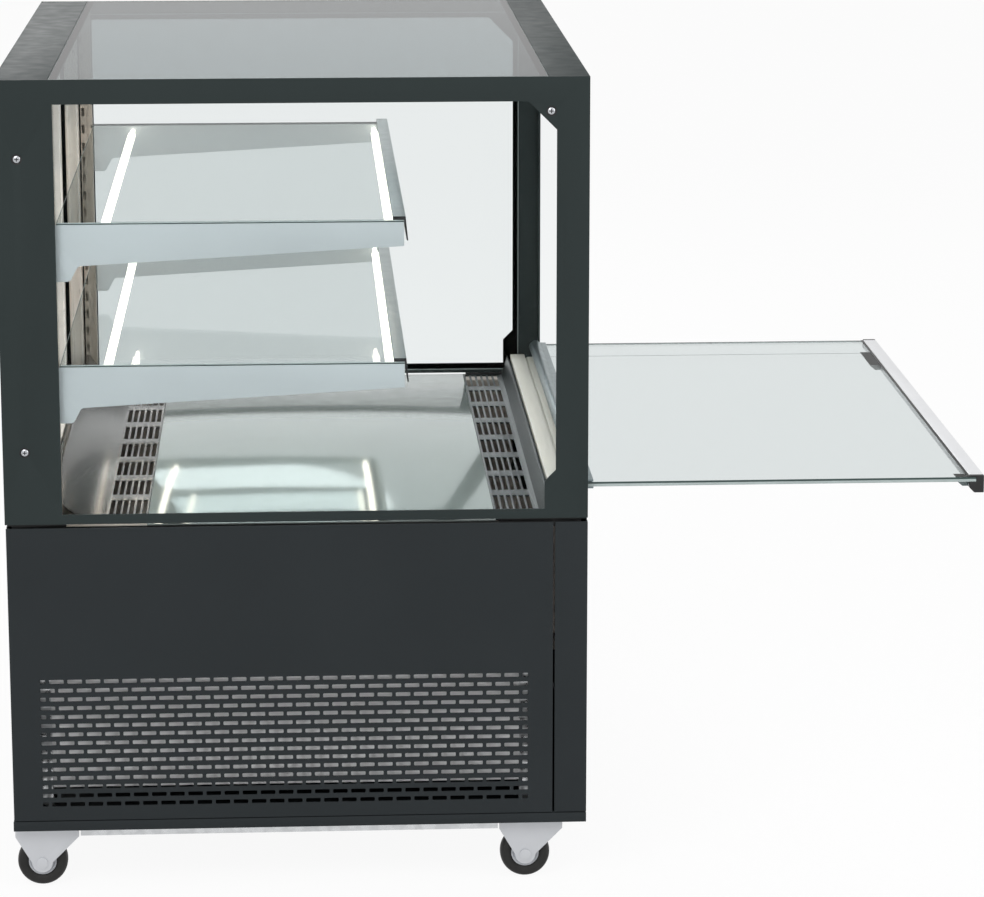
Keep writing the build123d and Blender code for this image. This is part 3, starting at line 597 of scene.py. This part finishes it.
def islands(node):
    """The separate closed parts of a node, as a low and a high corner each."""
    mesh = merged_mesh(node)
    left = set(mesh.verts)
    boxes = []
    while left:
        part, edge = set(), [left.pop()]
        while edge:
            vert = edge.pop()
            part.add(vert)
            for link in vert.link_edges:
                other = link.other_vert(vert)
                if other in left:
                    left.discard(other)
                    edge.append(other)
        spots = [vert.co for vert in part]
        low = Vector([min(spot[axis] for spot in spots) for axis in range(3)])
        high = Vector([max(spot[axis] for spot in spots) for axis in range(3)])
        boxes.append((low, high))
    mesh.free()
    return boxes


def mirrored(half):
    """The whole profile of a round piece from its one half."""
    return [*half, *((radius, -place) for radius, place in reversed(half))]


# Geometry Nodes: what repeats by a rule


class Tree:
    """A tree of geometry nodes, with named inputs for its sizes."""

    def __init__(self, name):
        self.group = bpy.data.node_groups.new(name, "GeometryNodeTree")
        self.entry = self.group.nodes.new("NodeGroupInput")
        self.names = {}
        self.start = self.size("Geometry", "Geometry")
        self.group.interface.new_socket(
            "Geometry", in_out="OUTPUT", socket_type="NodeSocketGeometry"
        )

    def size(self, name, kind="Float", value=None):
        """A named input of the tree, as a socket to read it from."""
        socket = self.group.interface.new_socket(
            name, in_out="INPUT", socket_type=f"NodeSocket{kind}"
        )
        if value is not None:
            socket.default_value = value
        self.names[name] = socket.identifier
        return self.entry.outputs[name]

    def node(self, kind, inputs=(), output=0, **choices):
        """Adds a node, its inputs given by name or place as sockets or as values."""
        made = self.group.nodes.new(kind)
        for choice, value in choices.items():
            setattr(made, choice, value)
        for place, value in dict(inputs).items():
            if isinstance(value, bpy.types.NodeSocket):
                self.group.links.new(value, made.inputs[place])
            else:
                made.inputs[place].default_value = value
        return made.outputs[output]

    def sum(self, operation, first, second):
        """One sum of two numbers."""
        return self.node("ShaderNodeMath", {0: first, 1: second}, operation=operation)

    def along(self, x=0.0, y=0.0, z=0.0):
        """A vector from its three parts."""
        return self.node("ShaderNodeCombineXYZ", {"X": x, "Y": y, "Z": z})

    def copies(self, points, piece, **inputs):
        """The piece once on each point."""
        return self.node(
            "GeometryNodeInstanceOnPoints", {"Points": points, "Instance": piece, **inputs}
        )

    def run(self, count, start, step):
        """Points in a line: how many, where they start, and the step between them."""
        return self.node(
            "GeometryNodeMeshLine", {"Count": count, "Start Location": start, "Offset": step}
        )

    def join(self, *parts):
        """Several geometries in one."""
        made = self.group.nodes.new("GeometryNodeJoinGeometry")
        for part in parts:
            self.group.links.new(part, made.inputs[0])
        return made.outputs[0]

    def finish(self, geometry, material):
        """Ends the tree: copies made real, then the finish."""
        real = self.node("GeometryNodeRealizeInstances", {"Geometry": geometry})
        done = self.node(
            "GeometryNodeSetMaterial", {"Geometry": real, "Material": material}
        )
        leave = self.group.nodes.new("NodeGroupOutput")
        self.group.links.new(done, leave.inputs[0])
        return self

    def grown(self, piece, sizes):
        """Runs the tree on a piece and leaves a plain mesh."""
        modifier = piece.modifiers.new("shape", "NODES")
        modifier.node_group = self.group
        for name, value in sizes.items():
            modifier[self.names[name]] = value
        return baked(piece)


def slotted_sheet(material):
    """A punched sheet lying flat, with slots in staggered rows.

    Every other row ends in part slots. The first row's rear end is the origin."""
    tree = Tree("slotted_sheet")
    rows = tree.size("Rows", "Int", 15)
    slots = tree.size("Slots", "Int", 27)
    row_pitch = tree.size("Row Pitch")
    slot_pitch = tree.size("Slot Pitch")
    length = tree.size("Slot Length")
    height = tree.size("Slot Height")
    corner = tree.size("Corner Radius")
    thickness = tree.size("Sheet Thickness")
    sheet_length = tree.size("Sheet Length")
    sheet_height = tree.size("Sheet Height")
    sheet_middle = tree.size("Sheet Middle", "Vector")

    def rounded_window(width):
        rim = tree.node(
            "GeometryNodeCurvePrimitiveQuadrilateral", {"Width": width, "Height": height}
        )
        return tree.node(
            "GeometryNodeFilletCurve",
            {"Curve": rim, "Count": 3, "Radius": corner},
            mode="POLY",
        )

    half = tree.sum("MULTIPLY", length, 0.5)
    bridge = tree.sum("SUBTRACT", slot_pitch, length)
    part_slot = tree.sum("MULTIPLY", tree.sum("SUBTRACT", length, bridge), 0.5)
    last = tree.sum("SUBTRACT", slots, 1.0)
    row_length = tree.sum("ADD", tree.sum("MULTIPLY", slot_pitch, last), length)
    full_points = tree.run(slots, tree.along(half), tree.along(slot_pitch))
    shifted = tree.sum("ADD", half, tree.sum("MULTIPLY", slot_pitch, 0.5))
    part_points = tree.run(last, tree.along(shifted), tree.along(slot_pitch))
    end_points = tree.run(
        2,
        tree.along(tree.sum("MULTIPLY", part_slot, 0.5)),
        tree.along(tree.sum("SUBTRACT", row_length, part_slot)),
    )
    full_row = tree.copies(full_points, rounded_window(length))
    part_row = tree.join(
        tree.copies(part_points, rounded_window(length)),
        tree.copies(end_points, rounded_window(part_slot)),
    )
    down = tree.along(0.0, tree.sum("MULTIPLY", row_pitch, -1.0))
    column = tree.run(rows, tree.along(), down)
    odd = tree.sum("MODULO", tree.node("GeometryNodeInputIndex"), 2.0)
    even = tree.sum("SUBTRACT", 1.0, odd)
    windows = tree.join(
        tree.copies(column, full_row, Selection=odd),
        tree.copies(column, part_row, Selection=even),
    )
    outline = tree.node(
        "GeometryNodeCurvePrimitiveQuadrilateral",
        {"Width": sheet_length, "Height": sheet_height},
    )
    outline = tree.node(
        "GeometryNodeTransform", {"Geometry": outline, "Translation": sheet_middle}
    )
    curves = tree.node(
        "GeometryNodeRealizeInstances", {"Geometry": tree.join(outline, windows)}
    )
    face = tree.node("GeometryNodeFillCurve", {"Curve": curves})
    raised = tree.node(
        "GeometryNodeExtrudeMesh",
        {
            "Mesh": face,
            "Offset": tree.along(0.0, 0.0, 1.0),
            "Offset Scale": thickness,
            "Individual": False,
        },
    )
    back = tree.node("GeometryNodeFlipFaces", {"Mesh": face})
    sheet = tree.node(
        "GeometryNodeMergeByDistance",
        {"Geometry": tree.join(raised, back), "Distance": 0.005 * MM},
    )
    return tree.finish(sheet, material)


def screw_heads(material):
    """A pan head with a cross recess on each point, facing away from the middle of the case."""
    tree = Tree("screw_heads")
    radius = tree.size("Head Radius")
    height = tree.size("Head Height")
    width = tree.size("Recess Width")
    reach = tree.size("Recess Length")
    depth = tree.size("Recess Depth")
    ball = tree.node(
        "GeometryNodeMeshUVSphere", {"Segments": 32, "Rings": 24, "Radius": 1.0}
    )
    dome = tree.node(
        "GeometryNodeTransform", {"Geometry": ball, "Scale": tree.along(radius, radius, height)}
    )

    def box(x, y, z, place):
        cube = tree.node("GeometryNodeMeshCube", {"Size": tree.along(x, y, z)})
        return tree.node(
            "GeometryNodeTransform",
            {"Geometry": cube, "Translation": tree.along(0.0, 0.0, place)},
        )

    for cutter in (
        box(1.0, 1.0, 1.0, -0.5),
        box(reach, width, tree.sum("MULTIPLY", depth, 2.0), height),
        box(width, reach, tree.sum("MULTIPLY", depth, 2.0), height),
    ):
        dome = tree.node(
            "GeometryNodeMeshBoolean",
            {"Mesh 1": dome, "Mesh 2": cutter},
            operation="DIFFERENCE",
            solver="EXACT",
        )
    away = tree.node(
        "ShaderNodeVectorMath",
        {0: tree.node("GeometryNodeInputPosition"), 1: (0.0, 1.0, 0.0)},
        operation="MULTIPLY",
    )
    facing = tree.node("FunctionNodeAlignRotationToVector", {"Vector": away}, axis="Z")
    return tree.finish(tree.copies(tree.start, dome, Rotation=facing), material)


# Operators: one for each piece or group of like pieces


class PASTRY_OT_frame_metal(Operator):
    """Powder coats the end frames, top strips and lower panels, and paints shade black into the
    screw dimples
    """

    bl_idname = "pastry.frame_metal"
    bl_label = "Frame and Panels"

    def execute(self, context):
        width = context.scene.case_details.sheet_arris
        spots = [(low + high) / 2 for low, high in islands("frame_screws")]

        def in_dimple_shade(face):
            return any(
                math.hypot(face.center.x - spot.x, face.center.z - spot.z) < DIMPLE_SHADE_REACH
                for spot in spots
            )

        for node in ("side_frame_left", "side_frame_right"):
            # The dimples round the screws get the black finish: painted shade in the recesses.
            dressed(node, FINISHES["frame paint"], width, FINISHES["black plastic and painted shade"], in_dimple_shade)
        for node in ("rear_top_rail", "front_top_rail", "front_sill"):
            dressed(node, FINISHES["frame paint"], width)
        for node in ("side_panel_right", "front_panel", "rear_service_panel", "base_frame"):
            dressed(node, FINISHES["body paint"], width)
        return {"FINISHED"}


class PASTRY_OT_grille(Operator):
    """Punches the slotted end panel, and hangs the light sheets behind it, the baffles near white
    as painted light
    """

    bl_idname = "pastry.grille"
    bl_label = "Slotted Grille"

    def execute(self, context):
        details = context.scene.case_details
        low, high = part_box("side_panel_left")
        row_length = (SLOTS_IN_ROW - 1) * SLOT_PITCH + SLOT_LENGTH
        first = low.x + PANEL_START_TO_SLOTS_END - row_length
        flat = object_from("punched_end", bmesh.new(), FINISHES["body paint"])
        slotted_sheet(FINISHES["body paint"]).grown(
            flat,
            {
                "Rows": SLOT_ROWS,
                "Slots": SLOTS_IN_ROW,
                "Row Pitch": ROW_PITCH,
                "Slot Pitch": SLOT_PITCH,
                "Slot Length": SLOT_LENGTH,
                "Slot Height": SLOT_HEIGHT,
                "Corner Radius": details.slot_corner,
                "Sheet Thickness": PANEL_SHEET,
                "Sheet Length": high.x - low.x,
                "Sheet Height": high.z - low.z,
                "Sheet Middle": (
                    (low.x + high.x) / 2 - first,
                    (low.z + high.z) / 2 - TOP_ROW,
                    0.0,
                ),
            },
        )
        inner_face = low.y + PANEL_SHEET
        upright = Matrix.Rotation(math.radians(90), 4, "X")
        flat.data.transform(Matrix.Translation((first, inner_face, TOP_ROW)) @ upright)
        mesh = bmesh.new()
        for x in (low.x + REAR_FOLD_INSET, high.x - PANEL_SHEET):
            bar(
                mesh,
                (x, inner_face, low.z),
                (x + PANEL_SHEET, high.y, high.z - FOLD_DROP),
            )
        folds = rounded(object_from("end_folds", mesh, FINISHES["body paint"]), 0.3 * MM)
        panel = joined([flat, folds], "side_panel_left_dressed")
        standing_for(panel, "side_panel_left")
        dressed("side_baffles", FINISHES["baffle zinc painted light"], 0.3 * MM)
        for node in ("corner_posts", "base_rails"):
            dressed(node, FINISHES["zinc sheet"], 0.3 * MM)
        return {"FINISHED"}


class PASTRY_OT_glazing(Operator):
    """Glazes the ends, the top, the shelves, the doors and the front"""

    bl_idname = "pastry.glazing"
    bl_label = "Glass Panes"

    def execute(self, context):
        details = context.scene.case_details
        clear, pale, shaded_edge = (FINISHES[name] for name in ("glass", "pale edge", "edge with painted shade"))
        for node, thin in (
            ("side_glass_left", "y"),
            ("side_glass_right", "y"),
            ("inner_door_glass", "x"),
            ("outer_door_glass", "x"),
        ):
            glazed(node, clear, details, thin, pale, pale)
        # Part of the top, shelf and front panes' edges gets the dark edge finish: painted shade.
        glazed("top_glass", FINISHES["roof glass painted shade"], details, "z", pale, shaded_edge)
        for node in ("upper_shelf_glass", "lower_shelf_glass"):
            glazed(node, clear, details, "z", pale, shaded_edge, 0.74)
        glazed("front_glass_pane", clear, details, "z", shaded_edge, pale, 0.6)
        return {"FINISHED"}


class PASTRY_OT_deck(Operator):
    """Lays the deck, the vent plates, the sill cap and the tub, black in the shadow gap as
    painted shade
    """

    bl_idname = "pastry.deck"
    bl_label = "Deck and Vents"

    def execute(self, context):
        dressed("deck_plate", FINISHES["deck steel"], 0.4 * MM)
        dressed("front_vent_plate", FINISHES["vent steel"], 0.25 * MM)
        dressed("rear_vent_plate", FINISHES["cove steel"], 0.25 * MM)
        dressed("sill_cap", FINISHES["cream plastic"], 1.2 * MM)
        gap_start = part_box("side_panel_left")[1].z
        # The tub's faces above the lower panels and outside the shadow gap's side get the black
        # finish: painted shade of the gap.
        dressed(
            "insulated_tub",
            FINISHES["tub liner"],
            0.4 * MM,
            FINISHES["black plastic and painted shade"],
            lambda face: face.center.z > gap_start or abs(face.center.y) > SHADOW_GAP_SIDE,
        )
        return {"FINISHED"}


class PASTRY_OT_shelves(Operator):
    """Hangs the shelf brackets, price rails and lamps on the uprights"""

    bl_idname = "pastry.shelves"
    bl_label = "Shelves"

    def execute(self, context):
        details = context.scene.case_details
        dressed("shelf_uprights", FINISHES["upright steel with painted reflection"], 0.3 * MM)
        dressed("shelf_brackets", FINISHES["bracket paint"], details.sheet_arris)
        dressed(
            "price_rails",
            FINISHES["price plastic"],
            0.4 * MM,
            FINISHES["black plastic and painted shade"],
            lambda face: abs(face.normal.y) > 0.9,
        )
        tubes = []
        for low, high in islands("shelf_lamps"):
            end = (high.y - low.y) / 2 / MM
            pin = [(0.4, end), (2.8, end), (3.2, end - 0.4)]
            profile = mirrored([*pin, *LAMP_SHOULDER])
            name = f"tube_{len(tubes)}"
            tubes.append(turned(name, profile, (low + high) / 2, FINISHES["lamp"], 32))
        lamps = joined(tubes, "shelf_lamps_dressed")
        standing_for(lamps, "shelf_lamps")
        return {"FINISHED"}


class PASTRY_OT_doors(Operator):
    """Finishes the sliding doors, their tracks and jambs"""

    bl_idname = "pastry.doors"
    bl_label = "Rear Doors"

    def execute(self, context):
        width = context.scene.case_details.bar_arris
        for node in ("inner_door_frame", "outer_door_frame"):
            dressed(node, FINISHES["door white"], width)
        dressed("rear_jambs", FINISHES["door white"], 2.5 * MM)
        dressed("door_tracks", FINISHES["black plastic and painted shade"], 0.4 * MM)
        return {"FINISHED"}


class PASTRY_OT_front_glass(Operator):
    """Finishes the rails, caps, grips and seal line of the fold-down front glass"""

    bl_idname = "pastry.front_glass"
    bl_label = "Front Glass Fittings"

    def execute(self, context):
        arris = context.scene.case_details.bar_arris
        dressed("front_glass_rail", FINISHES["light aluminium"], 0.4 * MM)
        dressed("glass_hinge_rail", FINISHES["hinge aluminium painted shade"], 0.4 * MM)
        dressed("rail_end_caps", FINISHES["black plastic and painted shade"], arris)
        dressed("glass_grips", FINISHES["grip plastic"], arris)
        dressed("glass_pivot_pins", FINISHES["zinc plate"], 0.4 * MM)
        low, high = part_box("front_glass_pane")
        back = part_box("front_glass_rail")[0].x
        body = node_body("front_glass_pane")
        strip(
            "glass_seal_line",
            (back - 3.0 * MM, low.y, high.z - 0.1 * MM),
            (back, high.y, high.z + 0.5 * MM),
            FINISHES["black plastic and painted shade"],
            body,
            0.1 * MM,
        )
        splice = high.y - SPLICE_INSET
        strip(
            "glass_splice_line",
            (low.x + 8.5 * MM, splice, high.z - 0.1 * MM),
            (back - 3.1 * MM, splice + 1.2 * MM, high.z + 0.15 * MM),
            FINISHES["grip plastic"],
            body,
            0.02 * MM,
        )
        return {"FINISHED"}


class PASTRY_OT_casters(Operator):
    """Builds the caster forks, hubs and tyres"""

    bl_idname = "pastry.casters"
    bl_label = "Casters"

    def execute(self, context):
        steps = context.scene.case_details.round_steps
        dressed("caster_plates", FINISHES["zinc plate"], 0.6 * MM)
        for number in WHEELS:
            dressed(f"caster_fork_{number}", FINISHES["zinc plate"], 0.7 * MM)
            low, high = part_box(f"wheel_tyre_{number}")
            for part, half, finish in (
                ("tyre", TYRE_HALF, "tyre rubber"),
                ("hub", HUB_HALF, "hub plastic"),
            ):
                node = f"wheel_{part}_{number}"
                middle = (low + high) / 2
                piece = turned(
                    f"{part}_{number}", mirrored(half), middle, FINISHES[finish], steps
                )
                standing_for(piece, node)
        return {"FINISHED"}


class PASTRY_OT_fasteners(Operator):
    """Puts the pan-head cross screws in the dimples of the end frames"""

    bl_idname = "pastry.fasteners"
    bl_label = "Screws"

    def execute(self, context):
        mesh = bmesh.new()
        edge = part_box("frame_screws")[1].y
        for low, high in islands("frame_screws"):
            middle = (low + high) / 2
            side = math.copysign(edge - DIMPLE_DEPTH, middle.y)
            mesh.verts.new((middle.x, side, middle.z))
        heads = object_from("frame_screws_dressed", mesh, FINISHES["screw steel"])
        screw_heads(FINISHES["screw steel"]).grown(
            heads,
            {
                "Head Radius": context.scene.case_details.screw_radius,
                "Head Height": HEAD_HEIGHT,
                "Recess Width": RECESS_WIDTH,
                "Recess Length": RECESS_LENGTH,
                "Recess Depth": RECESS_DEPTH,
            },
        )
        smoothed(heads)
        # The recess walls and floor and the steep rim of each head get the black finish: painted
        # shade.
        accented(
            heads,
            FINISHES["black plastic and painted shade"],
            lambda face: not 0.25 < abs(face.normal.y) < 0.9995,
        )
        standing_for(heads, "frame_screws")
        return {"FINISHED"}


class PASTRY_OT_machinery(Operator):
    """Finishes the cooling unit and the controls"""

    bl_idname = "pastry.machinery"
    bl_label = "Cooling Unit and Controls"

    def execute(self, context):
        for node, finish in (
            ("compressor", "black plastic and painted shade"),
            ("condenser_coil", "coil aluminium"),
            ("evaporator_coil", "coil aluminium"),
            ("condenser_fan", "black plastic and painted shade"),
            ("evaporator_fan", "black plastic and painted shade"),
            ("control_box", "control plastic"),
            ("power_switch", "black plastic and painted shade"),
        ):
            dressed(node, FINISHES[finish], 0.3 * MM)
        return {"FINISHED"}


class PASTRY_OT_stage(Operator):
    """Sets up the pale floor, the white surroundings, the lamps and the camera"""

    bl_idname = "pastry.stage"
    bl_label = "Stage"

    def execute(self, context):
        build_floor()
        build_world(context.scene)
        build_lamps()
        build_camera(context.scene)
        context.scene.view_settings.view_transform = "Standard"
        return {"FINISHED"}


def shown_plainly(nodes, links):
    """A factor of 1 for camera, glossy and transmitted rays."""
    path = nodes.new("ShaderNodeLightPath")
    total = path.outputs["Is Camera Ray"]
    for name in ("Is Glossy Ray", "Is Transmission Ray"):
        most = nodes.new("ShaderNodeMath")
        most.operation = "MAXIMUM"
        links.new(total, most.inputs[0])
        links.new(path.outputs[name], most.inputs[1])
        total = most.outputs[0]
    return total


def build_floor():
    """A wide pale floor that keeps the object's soft shadow."""
    mesh = bmesh.new()
    corners = [(-30, -30), (30, -30), (30, 30), (-30, 30)]
    mesh.faces.new([mesh.verts.new((x, y, 0)) for x, y in corners])
    material = bpy.data.materials.new("floor_white")
    material.use_nodes = True
    nodes, links = material.node_tree.nodes, material.node_tree.links
    shader = nodes["Principled BSDF"]
    shader.inputs["Base Color"].default_value = (0.92, 0.92, 0.92, 1.0)
    shader.inputs["Roughness"].default_value = 0.9
    shader.inputs["Specular IOR Level"].default_value = 0.0
    glow = nodes.new("ShaderNodeEmission")
    mix = nodes.new("ShaderNodeMixShader")
    part = nodes.new("ShaderNodeMath")
    part.operation = "MULTIPLY"
    part.inputs[1].default_value = 0.93
    links.new(shown_plainly(nodes, links), part.inputs[0])
    links.new(part.outputs[0], mix.inputs[0])
    links.new(shader.outputs[0], mix.inputs[1])
    links.new(glow.outputs[0], mix.inputs[2])
    links.new(mix.outputs[0], nodes["Material Output"].inputs["Surface"])
    object_from("floor", mesh, material)


def build_world(scene):
    """White to look at, and a softer grey as a light."""
    world = bpy.data.worlds.new("white_studio")
    world.use_nodes = True
    scene.world = world
    nodes, links = world.node_tree.nodes, world.node_tree.links
    background = nodes["Background"]
    background.inputs["Color"].default_value = (1.0, 1.0, 1.0, 1.0)
    strength = nodes.new("ShaderNodeMapRange")
    strength.inputs["To Min"].default_value = 0.55
    strength.inputs["To Max"].default_value = 1.0
    links.new(shown_plainly(nodes, links), strength.inputs["Value"])
    links.new(strength.outputs["Result"], background.inputs["Strength"])


def build_lamps():
    """Three large soft lamps round the case."""
    aim = Vector((0.0, 0.0, 0.6))
    for name, place, size, power in (
        ("key_lamp", (-1.8, -3.2, 3.4), 2.6, 70.0),
        ("fill_lamp", (3.4, -1.6, 2.2), 2.6, 45.0),
        ("back_lamp", (-1.0, 3.4, 2.8), 2.6, 40.0),
    ):
        light = bpy.data.lights.new(name, "AREA")
        light.shape = "DISK"
        light.size = size
        light.energy = power
        lamp = bpy.data.objects.new(name, light)
        lamp.location = place
        lamp.rotation_euler = (aim - lamp.location).to_track_quat("-Z", "Y").to_euler()
        bpy.context.scene.collection.objects.link(lamp)


def build_camera(scene):
    """The photograph's view: from the grille end, at standing eye height."""
    camera = bpy.data.cameras.new("photo_camera")
    camera.sensor_width = 36.0
    camera.lens = 132.9
    camera.clip_end = 100.0
    camera.shift_y = -0.04
    holder = bpy.data.objects.new("photo_camera", camera)
    holder.location = (-0.246, -4.813, 1.575)
    look = Vector((0.0545, 1.0, -0.2202))
    holder.rotation_euler = look.to_track_quat("-Z", "Y").to_euler()
    scene.collection.objects.link(holder)
    scene.camera = holder


class PASTRY_PT_case(Panel):
    """Lists the case's pieces in the sidebar"""

    bl_label = "Pastry Case"
    bl_idname = "PASTRY_PT_case"
    bl_space_type = "VIEW_3D"
    bl_region_type = "UI"
    bl_category = "Pastry Case"

    def draw(self, context):
        layout = self.layout
        for group in (context.scene.case_finish, context.scene.case_details):
            for name in group.__annotations__:
                layout.prop(group, name)
        for operator in OPERATORS:
            layout.operator(operator.bl_idname)


OPERATORS = (
    PASTRY_OT_stage,
    PASTRY_OT_frame_metal,
    PASTRY_OT_grille,
    PASTRY_OT_glazing,
    PASTRY_OT_deck,
    PASTRY_OT_shelves,
    PASTRY_OT_doors,
    PASTRY_OT_front_glass,
    PASTRY_OT_casters,
    PASTRY_OT_fasteners,
    PASTRY_OT_machinery,
)
CLASSES = (CaseFinishSettings, CaseDetailSettings, *OPERATORS, PASTRY_PT_case)
FINISHES = {}


def register():
    """Registers the settings, the operators and the panel."""
    for item in CLASSES:
        bpy.utils.register_class(item)
    bpy.types.Scene.case_finish = PointerProperty(type=CaseFinishSettings)
    bpy.types.Scene.case_details = PointerProperty(type=CaseDetailSettings)


def unregister():
    """Removes what register added."""
    del bpy.types.Scene.case_details
    del bpy.types.Scene.case_finish
    for item in reversed(CLASSES):
        bpy.utils.unregister_class(item)


def main():
    """Builds the whole scene."""
    register()
    FINISHES.update(make_finishes(bpy.context.scene.case_finish))
    for operator in OPERATORS:
        group, name = operator.bl_idname.split(".")
        getattr(getattr(bpy.ops, group), name)()


if __name__ == "__main__":
    main()
